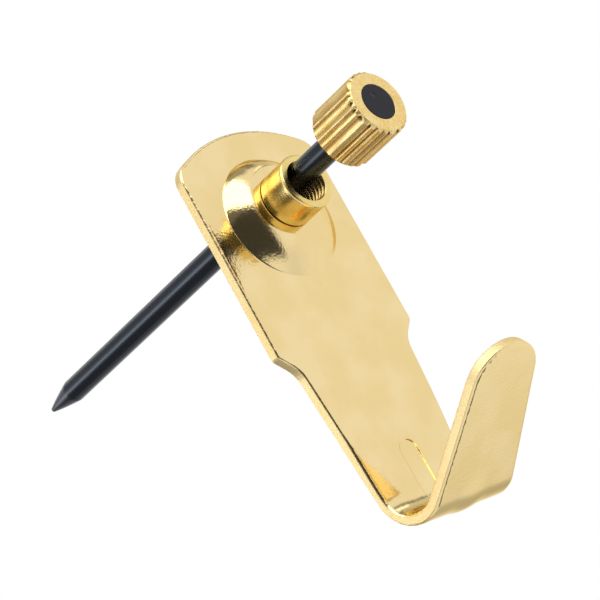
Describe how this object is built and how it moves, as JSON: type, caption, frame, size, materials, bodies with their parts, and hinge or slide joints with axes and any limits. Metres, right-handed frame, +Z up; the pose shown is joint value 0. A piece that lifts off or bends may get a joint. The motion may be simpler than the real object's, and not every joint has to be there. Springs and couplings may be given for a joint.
{
  "type": "picture hook",
  "caption": "Folded metal picture hook: an arched plate whose boss and threaded collar guide a capped nail into the wall, with a leaning tongue at its foot that carries the picture's wire.",
  "frame": {"origin": "where the nail's axis goes into the wall, in the plane of the plate's back", "axes": "+Z up the wall, +Y along the nail into the wall, -Y forward into the room, X across the plate"},
  "size_m": [0.019, 0.062, 0.0437],
  "materials": {
    "plated_brass": "bright pale brass plating on steel sheet, nearly a mirror",
    "turned_brass": "turned solid brass, fine lathe lines",
    "blued_steel": "hardened steel, black oxide, satin"
  },
  "bodies": {
    "root": {"hook_plate": "plated_brass", "threaded_collar": "turned_brass", "nail": "blued_steel", "knurled_cap": "turned_brass"}
  },
  "joints": []
}
